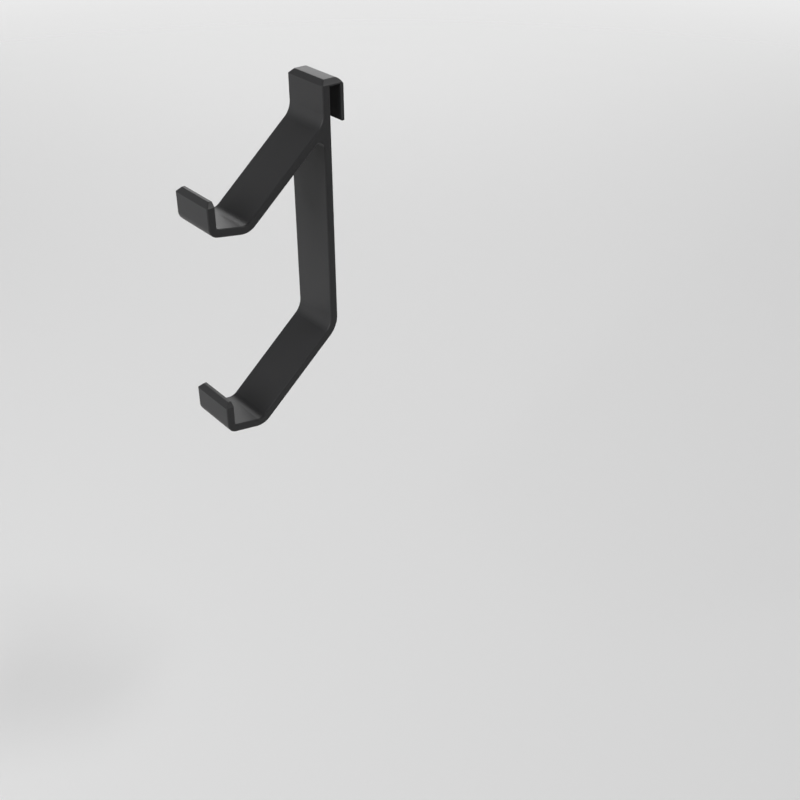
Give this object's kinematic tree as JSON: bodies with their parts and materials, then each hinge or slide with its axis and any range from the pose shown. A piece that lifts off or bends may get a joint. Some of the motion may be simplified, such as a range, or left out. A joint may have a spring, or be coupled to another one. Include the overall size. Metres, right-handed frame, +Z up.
{
  "type": "game controller stand",
  "caption": "Moulded strip that hooks over the top edge of an upright panel and holds game controllers in open cradles, one above the other.",
  "frame": {"origin": "middle of the slot's ceiling, the face of the hook that rests on the panel's top edge", "axes": "+Z up along the spine, +X along the panel's top edge to the right, -Y out into the room, the side where the cradles are"},
  "size_m": [0.0288, 0.0792, 0.1724],
  "materials": {
    "charcoal_plastic": "satin charcoal, fine moulded grain"
  },
  "bodies": {
    "root": {"controller_hanger": "charcoal_plastic"}
  },
  "joints": []
}
